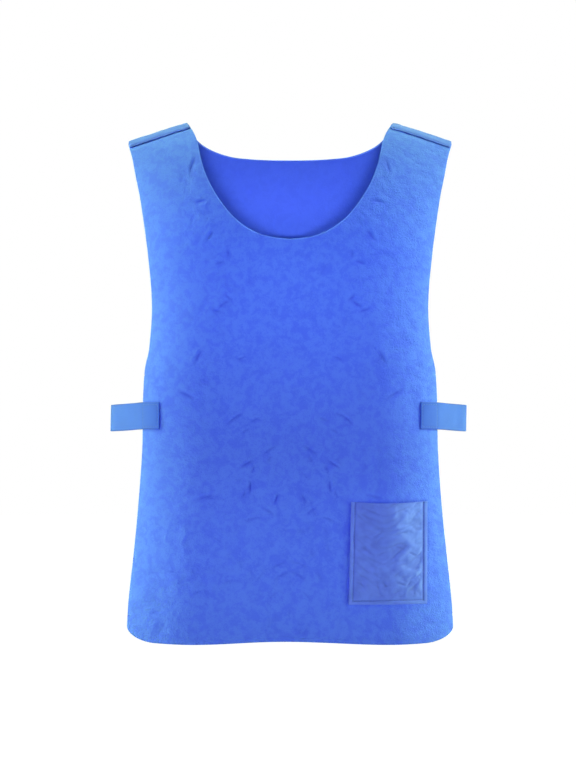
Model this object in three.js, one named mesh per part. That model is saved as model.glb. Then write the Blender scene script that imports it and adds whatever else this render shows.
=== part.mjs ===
// A slip-on cooling vest. A front panel and a back panel of thin padded cloth are joined by a folded
// band over each shoulder and by a strap round each side, and the front has a patch pocket.
// Millimetres, +Z up. The wearer faces -Y and has their left hand at +X.
// The origin is where the shoulders carry the vest: midway between the two neck points, at the height
// of the cloth's inner face there. "Drop" is a distance down from the origin.
import * as THREE from 'three';

// Thickness of each cloth, and the gap between two that are sewn together
const PANEL_WALL = 3;
const BAND_WALL = 1.4;
const STRAP_WALL = 1.8;
const POCKET_WALL = 1.2;
const SEWN_GAP = 0.3;
const BAND_GAP = 0.4;
const SEAM_GAP = 0.6; // between the two panels' edges, under the shoulder band

// Cut of the panels, as half widths and drops in the front view
const LENGTH = 640;
const HEM_HALF = 200;
const HEM_RISE = 4; // how much the hem is cut up at its centre
const HEM_LOWEST_AT = 122;
const CORNER_ACROSS = 36;
const CORNER_UP = 21;
const CHEST_HALF = 168; // the narrowest place, between the armholes
const UNDERARM_DROP = 304;
const SHOULDER_HALF = 201.5;
const SHOULDER_FALL = 24; // how much lower the shoulder's tip lies than its neck point
const NECK_HALF = 126;
const NECK_ROUND = 60; // rounds the line of the shoulders where it passes behind the neck
const FRONT_NECK_DROP = 146.6;
const BACK_NECK_DROP = 38.6;

// Form of the wearer's trunk that the cloth lies on
const FRONT_DEPTH = 103;
const BACK_DEPTH = 84;
const SHOULDER_ROLL = 170; // the fall over which the cloth turns from level to upright
const ROLL_POWER = 0.62;
const SECTION_POWER = 3; // 2 is an ellipse in plan, and more is squarer
const SIDE_WRAP = 0.9; // share of the trunk's half width that a panel covers

// Shoulder band
const BAND_FALL = 8.8; // how far below the ridge it reaches, on the front and on the back
const BAND_INSET = 1; // of its ends from the panels' edges
const BAND_LEAN = 0.35; // how far its ends follow the panels' edges inward for each step that they fall
const BAND_LEAN_FADE = 6; // how soon that dies out from each end

// Side straps
const STRAP_DROP = 361; // of the strap's middle, where it is sewn
const STRAP_WIDTH = 33;
const STRAP_SAG = 4;
const STRAP_SEWN_AT = 157.5; // half width where its sewn ends start
const LEFT_STRAP_REACH = 220; // half width at the outside of its bow
const RIGHT_STRAP_REACH = 223.5;
const STRAP_BOW = 42; // radius of the bow
const STRAP_TURN = 0.85; // how far it turns either way from its outermost point, in radians

// Patch pocket, on the wearer's left
const POCKET_WIDTH = 91.5;
const POCKET_HEIGHT = 125;
const POCKET_ABOVE_HEM = 49.5;
const POCKET_FROM_MIDDLE = 74; // of its inner edge, at its mouth
const POCKET_LEAN = 3; // its inner edge lies this much nearer the middle at the bottom
const POCKET_BORDER = 6; // sewn down along three sides
const POCKET_GAPE = 7; // how far its mouth stands open
const POCKET_SAG = 2;

// How finely the cloth is divided. A panel's columns fan out from its neckline to its outer edge.
const ARMHOLE_COLUMNS = 12;
const SIDE_COLUMNS = 8;
const CORNER_COLUMNS = 5;
const HEM_COLUMNS = 6;
const PANEL_ROWS = 16;
const CLOSER_AT_SHOULDER = 1.6; // above 1 the columns stand closer where the cloth turns most
const BAND_COLUMNS = 8;
const BAND_ROWS = 12;
const STRAP_STEPS = 40;
const STRAP_ROWS = 2;
const POCKET_COLUMNS = 12;
const POCKET_ROWS = 10;

// The armhole, from the shoulder's tip to the underarm: how far down it, as a share, and how far in
// towards the narrowest place, as a share of the step from the tip's half width
const ARMHOLE = [
  { down: 0, inward: 0 },
  { down: 0.07, inward: 0.2 },
  { down: 0.16, inward: 0.37 },
  { down: 0.25, inward: 0.54 },
  { down: 0.47, inward: 0.82 },
  { down: 0.72, inward: 1 },
  { down: 0.91, inward: 0.9 },
  { down: 1, inward: 0.744 },
];

// The side edge below the armhole: how far down it, and how far out towards the hem's half width
const SIDE = [
  { down: 0.11, outward: 0.1 },
  { down: 0.3, outward: 0.15 },
  { down: 0.48, outward: 0.33 },
  { down: 0.67, outward: 0.6 },
  { down: 0.85, outward: 0.88 },
  { down: 1, outward: 1 },
];

// The necklines, from the middle out to the neck point, as shares of its half width and drop
const FRONT_NECK = [
  { across: 0, down: 1 },
  { across: 0.174, down: 0.984 },
  { across: 0.356, down: 0.933 },
  { across: 0.54, down: 0.82 },
  { across: 0.689, down: 0.659 },
  { across: 0.79, down: 0.505 },
  { across: 0.857, down: 0.348 },
  { across: 0.913, down: 0.143 },
  { across: 1, down: 0 },
];
const BACK_NECK = [
  { across: 0, down: 1 },
  { across: 0.2, down: 0.995 },
  { across: 0.4, down: 0.968 },
  { across: 0.6, down: 0.9 },
  { across: 0.8, down: 0.69 },
  { across: 0.931, down: 0.4 },
  { across: 1, down: 0 },
];

// How the cloth hangs below the roll of the shoulders: its depth, as a share of the full depth
const FRONT_HANG = [
  { down: 0, out: 1 },
  { down: 0.3, out: 1 },
  { down: 0.65, out: 0.955 },
  { down: 1, out: 0.925 },
];
const BACK_HANG = [
  { down: 0, out: 1 },
  { down: 0.45, out: 0.9 },
  { down: 1, out: 0.96 },
];

// Soft upright folds that grow towards the hem: where across, as a share of the half width, how far
// they stand out or in, their half breadth as a share, and the drop where they start, as a share
const FRONT_FOLDS = [
  { across: -0.64, out: 3.5, breadth: 0.16, start: 0.4 },
  { across: -0.22, out: -2.5, breadth: 0.15, start: 0.5 },
  { across: 0.16, out: 2, breadth: 0.13, start: 0.6 },
  { across: 0.66, out: 3, breadth: 0.16, start: 0.4 },
];
const BACK_FOLDS = [
  { across: -0.6, out: 3.5, breadth: 0.17, start: 0.4 },
  { across: -0.05, out: -3, breadth: 0.2, start: 0.35 },
  { across: 0.55, out: 4, breadth: 0.15, start: 0.45 },
];

const { lerp, clamp, smoothstep } = THREE.MathUtils;

// A smooth curve through rows of [at, value], as a function that is level beyond both ends
function smoothTable(rows) {
  const last = rows.length - 1;
  const slopes = rows.map((row, i) => {
    const before = rows[Math.max(i - 1, 0)];
    const after = rows[Math.min(i + 1, last)];
    return (after[1] - before[1]) / (after[0] - before[0]);
  });
  return (at) => {
    const where = clamp(at, rows[0][0], rows[last][0]);
    const i = clamp(rows.findIndex((row) => row[0] >= where) - 1, 0, last - 1);
    const span = rows[i + 1][0] - rows[i][0];
    const t = (where - rows[i][0]) / span;
    return (
      rows[i][1] * (1 - t) ** 2 * (1 + 2 * t) +
      rows[i + 1][1] * t ** 2 * (3 - 2 * t) +
      slopes[i] * span * t * (1 - t) ** 2 -
      slopes[i + 1] * span * t ** 2 * (1 - t)
    );
  };
}

// Half width of both panels at a drop, without the rounded corner at the hem
const underarmHalf = lerp(SHOULDER_HALF, CHEST_HALF, ARMHOLE.at(-1).inward);
const edgeHalf = smoothTable([
  ...ARMHOLE.map((row) => [
    lerp(SHOULDER_FALL, UNDERARM_DROP, row.down),
    lerp(SHOULDER_HALF, CHEST_HALF, row.inward),
  ]),
  ...SIDE.map((row) => [
    lerp(UNDERARM_DROP, LENGTH, row.down),
    lerp(underarmHalf, HEM_HALF, row.outward),
  ]),
]);

// Drop of the line along the top of the shoulders, carried on behind the neck
function ridgeDrop(x) {
  const neck = Math.hypot(NECK_HALF, NECK_ROUND);
  const tip = Math.hypot(SHOULDER_HALF, NECK_ROUND);
  return (SHOULDER_FALL * (Math.hypot(x, NECK_ROUND) - neck)) / (tip - neck);
}

// The neckline from its middle (0) to the neck point (1), cut out of a curve over its whole width
function neckline(rows, neckDrop) {
  const half = rows.map((row) => new THREE.Vector2(row.across * NECK_HALF, row.down * neckDrop));
  const mirrored = half.slice(1).reverse().map((p) => new THREE.Vector2(-p.x, p.y));
  const whole = new THREE.SplineCurve([...mirrored, ...half]);
  return (t) => whole.getPointAt(0.5 + t / 2);
}

function hangTable(rows) {
  return smoothTable(rows.map((row) => [lerp(SHOULDER_ROLL, LENGTH, row.down), row.out]));
}

const FRONT = {
  facing: -1,
  depth: FRONT_DEPTH,
  neck: neckline(FRONT_NECK, FRONT_NECK_DROP),
  hang: hangTable(FRONT_HANG),
  folds: FRONT_FOLDS,
};
const BACK = {
  facing: 1,
  depth: BACK_DEPTH,
  neck: neckline(BACK_NECK, BACK_NECK_DROP),
  hang: hangTable(BACK_HANG),
  folds: BACK_FOLDS,
};

// Distance of the cloth's inner face from the plane through both shoulders
function clothDepth(side, x, drop) {
  const fall = Math.max(drop - ridgeDrop(x), 0);
  const rolled = (1 - (1 - Math.min(fall / SHOULDER_ROLL, 1)) ** 2) ** ROLL_POWER;
  const across = x / edgeHalf(drop);
  const wrap = Math.min(Math.abs(across) * SIDE_WRAP, 1);
  const section = (1 - wrap ** SECTION_POWER) ** (1 / SECTION_POWER);
  const folds = side.folds.reduce((sum, fold) => {
    const near = Math.exp(-(((across - fold.across) / fold.breadth) ** 2));
    return sum + fold.out * near * smoothstep(drop, fold.start * LENGTH, LENGTH);
  }, 0);
  return SEAM_GAP / 2 + side.depth * side.hang(fall) * rolled * section + folds;
}

// A point on a side's cloth, lifted off its inner face along the outward normal
function onCloth(side, x, drop, lift) {
  const step = 0.05;
  const level = Math.max(drop, ridgeDrop(x) + 2 * step);
  const sideways =
    (clothDepth(side, x + step, level) - clothDepth(side, x - step, level)) / (2 * step);
  const down = (clothDepth(side, x, level + step) - clothDepth(side, x, level - step)) / (2 * step);
  const normal = new THREE.Vector3(-sideways, side.facing, down).normalize();
  const foot = new THREE.Vector3(x, side.facing * clothDepth(side, x, drop), -drop);
  return foot.addScaledVector(normal, lift);
}

// A closed slab with unit sides, bent by place(u, v, w): u and v run over its face from 0 to 1, and w
// is 0 on its inner face and 1 on its outer face
function bentSlab(name, material, columns, rows, place) {
  const slab = new THREE.BoxGeometry(1, 1, 1, columns, rows, 1);
  const points = slab.getAttribute('position');
  for (let i = 0; i < points.count; i++) {
    const at = place(points.getX(i) + 0.5, points.getY(i) + 0.5, points.getZ(i) + 0.5);
    points.setXYZ(i, at.x, at.y, at.z);
  }
  slab.computeVertexNormals();
  const mesh = new THREE.Mesh(slab, material);
  mesh.name = name;
  return mesh;
}

function cloth(color, roughness) {
  return new THREE.MeshStandardMaterial({ color, roughness, metalness: 0 });
}

const panelCloth = cloth('#4a72f2', 0.8);
const bandCloth = cloth('#5b8df0', 0.75);
const strapWebbing = cloth('#6199ea', 0.85);
const pocketCloth = cloth('#5b7fd8', 0.6);

// The drop of the hem at a half width, before its corner is rounded
function hemDrop(x) {
  return LENGTH - (HEM_RISE * (1 + Math.cos((Math.PI * x) / HEM_LOWEST_AT))) / 2;
}

// A stretch of an edge as points, from a function of the share of it that is passed
function stretch(columns, point) {
  return Array.from({ length: columns }, (_, i) => point(i / columns));
}

// The outer edge of a panel in the front view, from the shoulder's tip, down the armhole and the side,
// round the corner and along the hem to its middle
const outerEdge = [
  ...stretch(ARMHOLE_COLUMNS, (t) => {
    const drop = lerp(SHOULDER_FALL, UNDERARM_DROP, t ** CLOSER_AT_SHOULDER);
    return new THREE.Vector2(edgeHalf(drop), drop);
  }),
  ...stretch(SIDE_COLUMNS, (t) => {
    const drop = lerp(UNDERARM_DROP, LENGTH - CORNER_UP, t);
    return new THREE.Vector2(edgeHalf(drop), drop);
  }),
  ...stretch(CORNER_COLUMNS, (t) => {
    const turn = (t * Math.PI) / 2;
    const drop = LENGTH - CORNER_UP * (1 - Math.sin(turn));
    const x = edgeHalf(drop) - CORNER_ACROSS * (1 - Math.cos(turn));
    return new THREE.Vector2(x, drop - (LENGTH - hemDrop(x)) * Math.sin(turn));
  }),
  ...stretch(HEM_COLUMNS, (t) => {
    const x = lerp(HEM_HALF - CORNER_ACROSS, 0, t);
    return new THREE.Vector2(x, hemDrop(x));
  }),
  new THREE.Vector2(0, hemDrop(0)),
];

function panel(name, side) {
  const half = outerEdge.length - 1;
  const neck = outerEdge.map((_, i) => side.neck(1 - (i / half) ** CLOSER_AT_SHOULDER));
  return bentSlab(name, panelCloth, 2 * half, PANEL_ROWS, (u, v, w) => {
    const column = Math.round((1 - Math.abs(2 * u - 1)) * half);
    const at = outerEdge[column].clone().lerp(neck[column], v);
    const toward = u > 0.5 ? -side.facing : side.facing;
    return onCloth(side, toward * at.x, Math.max(at.y, ridgeDrop(at.x)), w * PANEL_WALL);
  });
}

// Each band is one strip folded over the shoulder's ridge, down to the seam on the front and on the
// back. Its rows run from the front, over the ridge, to the back.
function shoulderBand(name, toward) {
  const from = NECK_HALF + BAND_INSET;
  const to = SHOULDER_HALF - BAND_INSET;
  return bentSlab(name, bandCloth, BAND_COLUMNS, BAND_ROWS, (u, v, w) => {
    const x = toward > 0 ? lerp(from, to, u) : lerp(-to, -from, u);
    const over = 2 * v - 1;
    const side = over < 0 ? FRONT : BACK;
    const fall = BAND_FALL * Math.abs(over) ** (1 / ROLL_POWER);
    const neckSide = Math.max(1 - (Math.abs(x) - from) / (to - from), 0);
    const leaning = neckSide ** BAND_LEAN_FADE + (1 - neckSide) ** BAND_LEAN_FADE;
    const inward = toward * BAND_LEAN * fall * leaning;
    const lift = PANEL_WALL + BAND_GAP + w * BAND_WALL;
    const at = onCloth(side, x - inward, ridgeDrop(x - inward) + fall, lift);
    if (over === 0) at.y = 0;
    return at;
  });
}

// A strap is sewn flat on the front panel, leaves its edge, bows round the side and is sewn the same
// way on the back panel
function strapPath(toward, reach) {
  const lift = PANEL_WALL + SEWN_GAP + STRAP_WALL / 2;
  const sewn = (side) =>
    [0, 0.35, 0.7, 1].map((t) =>
      onCloth(side, toward * lerp(STRAP_SEWN_AT, edgeHalf(STRAP_DROP), t), STRAP_DROP, lift),
    );
  const front = sewn(FRONT);
  const back = sewn(BACK).reverse();
  const middle = (front.at(-1).y + back[0].y) / 2;
  const bow = reach - STRAP_WALL / 2;
  const turns = [-1, -0.5, 0, 0.5, 1].map((t) => {
    const inset = STRAP_BOW * (1 - Math.cos(t * STRAP_TURN));
    const deep = middle + STRAP_BOW * Math.sin(t * STRAP_TURN);
    return new THREE.Vector3(toward * (bow - inset), deep, -STRAP_DROP);
  });
  return new THREE.CatmullRomCurve3([...front, ...turns, ...back], false, 'centripetal');
}

function sideStrap(name, toward, reach) {
  const path = strapPath(toward, reach);
  const up = new THREE.Vector3(0, 0, 1);
  return bentSlab(name, strapWebbing, STRAP_STEPS, STRAP_ROWS, (u, v, w) => {
    const along = toward > 0 ? u : 1 - u;
    const out = path.getTangentAt(along).setZ(0).normalize().cross(up).multiplyScalar(toward);
    const at = path.getPointAt(along).addScaledVector(out, (w - 0.5) * STRAP_WALL);
    at.z = -STRAP_DROP + (v - 0.5) * STRAP_WIDTH - STRAP_SAG * Math.sin(along * Math.PI) ** 2;
    return at;
  });
}

// The pocket is sewn down along its two sides and its bottom, and its mouth stands a little open
function pocket(name) {
  const outer = POCKET_FROM_MIDDLE + POCKET_WIDTH;
  const bottom = LENGTH - POCKET_ABOVE_HEM;
  return bentSlab(name, pocketCloth, POCKET_COLUMNS, POCKET_ROWS, (u, v, w) => {
    const inner = POCKET_FROM_MIDDLE - POCKET_LEAN * (1 - v);
    const x = lerp(inner, outer, u);
    const sag = POCKET_SAG * Math.sin(u * Math.PI) * v ** 4;
    const drop = bottom - POCKET_HEIGHT * v + sag;
    const inFromSide = Math.min(x - inner, outer - x) - POCKET_BORDER;
    const inFromBottom = bottom - drop - POCKET_BORDER;
    const slack =
      smoothstep(inFromSide, 0, POCKET_WIDTH / 2 - POCKET_BORDER) *
      smoothstep(inFromBottom, 0, POCKET_HEIGHT - POCKET_BORDER);
    const lift = PANEL_WALL + SEWN_GAP + POCKET_GAPE * slack + w * POCKET_WALL;
    return onCloth(FRONT, x, drop, lift);
  });
}

const vest = new THREE.Group();
vest.add(
  panel('front_panel', FRONT),
  panel('back_panel', BACK),
  shoulderBand('shoulder_band_left', 1),
  shoulderBand('shoulder_band_right', -1),
  sideStrap('side_strap_left', 1, LEFT_STRAP_REACH),
  sideStrap('side_strap_right', -1, RIGHT_STRAP_REACH),
  pocket('pocket'),
);

export default vest;
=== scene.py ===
import math

import bmesh
import bpy
import numpy as np
from mathutils import Matrix, Vector, noise
from mathutils.bvhtree import BVHTree
from mathutils.kdtree import KDTree


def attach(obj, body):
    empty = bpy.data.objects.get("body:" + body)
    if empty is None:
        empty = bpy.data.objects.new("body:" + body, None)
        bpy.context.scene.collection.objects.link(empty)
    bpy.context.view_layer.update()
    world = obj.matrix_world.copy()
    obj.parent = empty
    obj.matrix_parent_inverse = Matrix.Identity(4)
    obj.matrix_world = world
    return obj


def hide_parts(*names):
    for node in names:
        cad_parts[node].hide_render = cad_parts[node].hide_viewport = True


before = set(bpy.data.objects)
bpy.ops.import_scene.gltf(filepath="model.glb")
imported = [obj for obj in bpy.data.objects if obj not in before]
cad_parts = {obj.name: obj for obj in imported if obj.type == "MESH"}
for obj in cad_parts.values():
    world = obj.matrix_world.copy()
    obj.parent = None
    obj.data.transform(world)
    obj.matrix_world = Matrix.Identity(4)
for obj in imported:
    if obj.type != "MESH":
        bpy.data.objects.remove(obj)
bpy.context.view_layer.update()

# Camera. It stands square in front of the vest, level with its middle, far enough away that the
# shoulders and the hem are seen almost straight on.
EYE_AWAY = 3.5
EYE_HEIGHT = -0.3225
EYE_ASIDE = -0.0025
VIEW_HEIGHT = 0.96

camera_data = bpy.data.cameras.new("camera")
camera_data.lens = camera_data.sensor_width * EYE_AWAY / VIEW_HEIGHT
camera = bpy.data.objects.new("camera", camera_data)
camera.location = (EYE_ASIDE, -EYE_AWAY, EYE_HEIGHT)
camera.rotation_euler = (math.pi / 2, 0, 0)
bpy.context.scene.collection.objects.link(camera)
bpy.context.scene.camera = camera

# Floor and light. A wide pale floor lies below the vest, under an even white sky. Soft lights stand
# in pairs in front, and tall ones at the sides brighten the cloth where it turns back.
FLOOR_HEIGHT = -1.05
FLOOR_HALF = 12.0
FLOOR_GREY = (0.55, 0.55, 0.55, 1)
FLOOR_GLOW = 1.0
SKY_SEEN = 1.0
SKY_LIGHT = 0.06
LIGHT_PAIRS = [
    # name, place on the left, aim across and up, half size, power in watts, spread in degrees, colour
    ("chest_light", (0.16, -1.7, -0.25), (0.14, -0.14), (0.1, 0.02), 0.19, 19.8, (0.92, 1, 1)),
    ("waist_light", (0.22, -1.7, -0.5), (0.22, -0.5), (0.1, 0.1), 0.445, 34, (0.78, 0.55, 1)),
    ("high_light", (1.5, 0.1, 0.9), (0.15, -0.03), (0.1, 0.3), 6.5, 60, (0.8, 1, 0.45)),
    ("side_light", (2.3, 0.34, 0.0), (0, -0.3), (0.12, 1.1), 54.0, 180, (0.8, 1, 0.36)),
    ("low_light", (1.9, -0.5, -0.62), (0.1, -0.55), (0.1, 0.1), 0.85, 26, (0.8, 1, 0.4)),
]


def set_sockets(node, *sockets):
    """Sets some of a node's own sockets, each given as its name and its value."""
    for name, value in sockets:
        node.inputs[name].default_value = value


def new_node(nodes, kind, *sockets):
    """Adds a shader node and sets some of its own sockets."""
    node = nodes.new(kind)
    set_sockets(node, *sockets)
    return node


def new_paint(name):
    """A new material, with its nodes, its links and its shader."""
    paint = bpy.data.materials.new(name)
    paint.use_nodes = True
    tree = paint.node_tree
    return paint, tree.nodes, tree.links, tree.nodes["Principled BSDF"]


def soft_light(name, place, aim, half_size, power, spread, tint):
    """A rectangular light that points at a place across and up on the vest's middle plane."""
    light = bpy.data.lights.new(name, "AREA")
    light.shape = "RECTANGLE"
    light.size = 2 * half_size[0]
    light.size_y = 2 * half_size[1]
    light.energy = power
    light.color = tint
    light.spread = math.radians(spread)
    lamp = bpy.data.objects.new(name, light)
    lamp.location = place
    toward = Vector((aim[0], 0, aim[1])) - lamp.location
    lamp.rotation_euler = toward.to_track_quat("-Z", "Y").to_euler()
    lamp.visible_camera = False
    bpy.context.scene.collection.objects.link(lamp)


bm = bmesh.new()
bmesh.ops.create_grid(bm, x_segments=1, y_segments=1, size=FLOOR_HALF)
bmesh.ops.translate(bm, verts=bm.verts, vec=(0, 0, FLOOR_HEIGHT))
floor_mesh = bpy.data.meshes.new("floor")
bm.to_mesh(floor_mesh)
bm.free()
floor = bpy.data.objects.new("floor", floor_mesh)
bpy.context.scene.collection.objects.link(floor)
floor_paint, nodes, links, shader = new_paint("pale_floor")
set_sockets(
    shader, ("Base Color", FLOOR_GREY), ("Roughness", 0.9), ("Emission Color", (1, 1, 1, 1))
)
seen = nodes.new("ShaderNodeLightPath")
glow = new_node(nodes, "ShaderNodeMapRange", ("To Max", FLOOR_GLOW))
links.new(seen.outputs["Is Camera Ray"], glow.inputs["Value"])
links.new(glow.outputs["Result"], shader.inputs["Emission Strength"])
floor_mesh.materials.append(floor_paint)

world = bpy.data.worlds.new("white_sky")
world.use_nodes = True
bpy.context.scene.world = world
nodes = world.node_tree.nodes
links = world.node_tree.links
sky = nodes["Background"]
seen = nodes.new("ShaderNodeLightPath")
strength = new_node(nodes, "ShaderNodeMapRange", ("To Min", SKY_LIGHT), ("To Max", SKY_SEEN))
links.new(seen.outputs["Is Camera Ray"], strength.inputs["Value"])
links.new(strength.outputs["Result"], sky.inputs["Strength"])
sky.inputs["Color"].default_value = (1, 1, 1, 1)

for name, (x, y, z), (across, up), half_size, power, spread, tint in LIGHT_PAIRS:
    for side_name, toward in (("left", 1), ("right", -1)):
        place, aim = (toward * x, y, z), (toward * across, up)
        soft_light(f"{name}_{side_name}", place, aim, half_size, power, spread, tint)
soft_light("back_light", (0.3, 3.0, 0.6), (0, -0.3), (1.2, 0.8), 60.0, 180, (1, 1, 1))
bpy.context.scene.view_settings.view_transform = "Standard"

# Front panel. It is thin padded cooling cloth with a crinkled, suede-like face, cut with a deep round
# neck and open sides. It rolls off the shoulders, lies on the chest and hangs straight to the hem.
# Its edges are turned in and pressed, so they are rounded and bare of stitches.
PADDING = 0.003
LENGTH = 0.640
HEM_HALF = 0.200
HEM_RISE = 0.004
HEM_LOWEST_AT = 0.122
CORNER_ACROSS = 0.036
CORNER_UP = 0.021
CHEST_HALF = 0.168
UNDERARM_DROP = 0.304
SHOULDER_HALF = 0.2015
SHOULDER_FALL = 0.024
NECK_HALF = 0.126
NECK_ROUND = 0.060
SHOULDER_ROLL = 0.170
ROLL_POWER = 0.62
SECTION_POWER = 3
SIDE_WRAP = 0.9
SEAM_HALF_GAP = 0.0003
MEAN_DEPTH = 0.82
CELL = 0.00175
EDGE_RINGS = (0.0010, 0.00045, 0.00015)
CUT_EASED_CELLS = 5
CUT_EASED_TIMES = 16
INNER_FACES_KEPT = 0.16
INNER_SMOOTHNESS = 0.75
RIM = 0.012
RIM_CRINKLE = 0.3
# Painted shade: how dark it is in the creases, the share the wandering creases get, how dark it is in
# the grooves beside sewn pieces, and the depth at which it is full
FULL_SHADE_DEPTH = 0.0010
CREASE_SHADE = 0.9
LINE_SHADE = 0.6
PRESSED_SHADE = 0.5

# The crinkle: how many waves to the metre, and their height or reach in metres
BENDS, BEND_REACH = 38, 0.012
SWELLS, SWELL_HEIGHT = 13, 0.0011
DENTS, DENT_HEIGHT = 70, 0.00075
GRAINS, GRAIN_HEIGHT = 190, 0.00014

# Creases that wander between the dents: how many to the metre, an offset that keeps them apart,
# narrowness, depth, and whether they break off
WANDERING_CREASES = [
    (47, (0, 0, 9), 5.0, 0.00070, True),
    (95, (4, 0, 2), 4.5, 0.00045, True),
    (190, (1, 5, 3), 3.4, 0.00030, False),
]

# The armhole and the side below it, as shares: how far down each, and how far across
ARMHOLE = [
    (0, 0), (0.07, 0.2), (0.16, 0.37), (0.25, 0.54), (0.47, 0.82), (0.72, 1), (0.91, 0.9), (1, 0.744),
]
SIDE = [(0.11, 0.1), (0.3, 0.15), (0.48, 0.33), (0.67, 0.6), (0.85, 0.88), (1, 1)]


def lerp(a, b, t):
    return a + (b - a) * t


def smooth_table(rows):
    """A smooth curve through rows of (at, value), level beyond both ends."""
    at, value = np.array(rows, float).T
    slope = np.empty(len(at))
    slope[1:-1] = (value[2:] - value[:-2]) / (at[2:] - at[:-2])
    slope[0] = (value[1] - value[0]) / (at[1] - at[0])
    slope[-1] = (value[-1] - value[-2]) / (at[-1] - at[-2])

    def curve(where):
        x = np.clip(where, at[0], at[-1])
        i = np.clip(np.searchsorted(at, x, side="right") - 1, 0, len(at) - 2)
        span = at[i + 1] - at[i]
        t = (x - at[i]) / span
        ends = value[i] * (1 - t) ** 2 * (1 + 2 * t) + value[i + 1] * t**2 * (3 - 2 * t)
        return ends + span * t * (1 - t) * (slope[i] * (1 - t) - slope[i + 1] * t)

    return curve


underarm_half = lerp(SHOULDER_HALF, CHEST_HALF, ARMHOLE[-1][1])
edge_half = smooth_table(
    [(lerp(SHOULDER_FALL, UNDERARM_DROP, d), lerp(SHOULDER_HALF, CHEST_HALF, a)) for d, a in ARMHOLE]
    + [(lerp(UNDERARM_DROP, LENGTH, d), lerp(underarm_half, HEM_HALF, a)) for d, a in SIDE]
)


def smoothstep(x, low, high):
    t = np.clip((x - low) / (high - low), 0, 1)
    return t * t * (3 - 2 * t)


def ridge_drop(x):
    """How far the top of the shoulders lies below the neck points, carried on behind the neck."""
    neck = math.hypot(NECK_HALF, NECK_ROUND)
    tip = math.hypot(SHOULDER_HALF, NECK_ROUND)
    return SHOULDER_FALL * (np.hypot(x, NECK_ROUND) - neck) / (tip - neck)


def hem_drop(x):
    """The hem with its slight wave, before its corners are rounded."""
    return LENGTH - HEM_RISE * (1 + np.cos(np.pi * x / HEM_LOWEST_AT)) / 2


class Cloth:
    """One side of the vest as the form that its cloth lies on, with its inner face at lift 0."""

    def __init__(self, facing, depth, neck_drop, neck_rows, hang_rows, folds):
        self.facing = facing
        self.depth = depth
        self.folds = folds
        self.neck = smooth_table([(a * NECK_HALF, d * neck_drop) for a, d in neck_rows])
        self.hang = smooth_table([(lerp(SHOULDER_ROLL, LENGTH, d), out) for d, out in hang_rows])
        fall = np.linspace(0, LENGTH + 0.05, 7000)
        out = MEAN_DEPTH * self.depth * self.hang(fall) * self.rolled(fall)
        along = np.hypot(np.diff(fall), np.diff(out))
        self.falls = fall
        self.alongs = np.concatenate([[0], np.cumsum(along)])

    def rolled(self, fall):
        return (1 - (1 - np.minimum(fall / SHOULDER_ROLL, 1)) ** 2) ** ROLL_POWER

    def form(self, x, drop):
        """Depth of the inner face at x and a drop below the neck points."""
        fall = np.maximum(drop - ridge_drop(x), 0)
        across = x / edge_half(drop)
        wrap = np.minimum(np.abs(across) * SIDE_WRAP, 1)
        section = (1 - wrap**SECTION_POWER) ** (1 / SECTION_POWER)
        folds = 0
        for at, out, breadth, start in self.folds:
            near = np.exp(-(((across - at) / breadth) ** 2))
            folds = folds + out * near * smoothstep(drop, start * LENGTH, LENGTH)
        return SEAM_HALF_GAP + self.depth * self.hang(fall) * self.rolled(fall) * section + folds

    def point(self, x, drop, lift):
        """Places and outward normals at x, a drop, and a lift off the inner face."""
        step = 0.00005
        level = np.maximum(drop, ridge_drop(x) + 2 * step)
        sideways = (self.form(x + step, level) - self.form(x - step, level)) / (2 * step)
        down = (self.form(x, level + step) - self.form(x, level - step)) / (2 * step)
        normal = np.stack([-sideways, np.full_like(x, self.facing), down], -1)
        normal /= np.linalg.norm(normal, axis=-1, keepdims=True)
        foot = np.stack([x, self.facing * self.form(x, drop), -drop], -1)
        return foot + normal * np.asarray(lift)[..., None], normal

    def drop_at(self, x, along):
        """The drop that lies a distance down the cloth from the top of the shoulder."""
        return ridge_drop(x) + np.interp(along, self.alongs, self.falls)

    def along_at(self, x, drop):
        return np.interp(drop - ridge_drop(x), self.falls, self.alongs)

    def outline(self):
        """The cut edge of the cloth laid flat, as closely spaced points of its +X half."""
        t = np.linspace(0, 1, 1200)
        neck_x = NECK_HALF * np.sin(t * np.pi / 2)
        shoulder_x = lerp(NECK_HALF, SHOULDER_HALF, t)
        side_drop = lerp(SHOULDER_FALL, LENGTH - CORNER_UP, t)
        turn = t * np.pi / 2
        corner_drop = LENGTH - CORNER_UP * (1 - np.sin(turn))
        corner_x = edge_half(corner_drop) - CORNER_ACROSS * (1 - np.cos(turn))
        corner_drop = corner_drop - (LENGTH - hem_drop(corner_x)) * np.sin(turn)
        hem_x = lerp(HEM_HALF - CORNER_ACROSS, 0, t)
        x = np.concatenate([neck_x, shoulder_x, edge_half(side_drop), corner_x, hem_x])
        drop = np.concatenate(
            [self.neck(neck_x), ridge_drop(shoulder_x), side_drop, corner_drop, hem_drop(hem_x)]
        )
        return np.stack([x, self.along_at(x, drop)], -1)

    def inside(self, x, drop):
        """Whether the cut cloth reaches a place."""
        x = np.abs(x)
        past = np.clip((drop - (LENGTH - CORNER_UP)) / CORNER_UP, 0, 1)
        side = edge_half(drop) - CORNER_ACROSS * (1 - np.sqrt(1 - past**2))
        below_neck = (x >= NECK_HALF) | (drop >= self.neck(x))
        return (x <= side) & below_neck & (drop <= hem_drop(x)) & (drop >= ridge_drop(x) - 1e-6)


def finished(name, bm):
    """The object of a finished bmesh, at the origin, with smooth faces."""
    mesh = bpy.data.meshes.new(name)
    bm.to_mesh(mesh)
    bm.free()
    for polygon in mesh.polygons:
        polygon.use_smooth = True
    piece = bpy.data.objects.new(name, mesh)
    bpy.context.scene.collection.objects.link(piece)
    return piece


def with_modifiers_applied(piece):
    """Gives a piece the mesh that its modifiers make, and takes them off."""
    evaluated = piece.evaluated_get(bpy.context.evaluated_depsgraph_get())
    mesh = bpy.data.meshes.new_from_object(evaluated)
    piece.modifiers.clear()
    piece.data = mesh
    return piece


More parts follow.
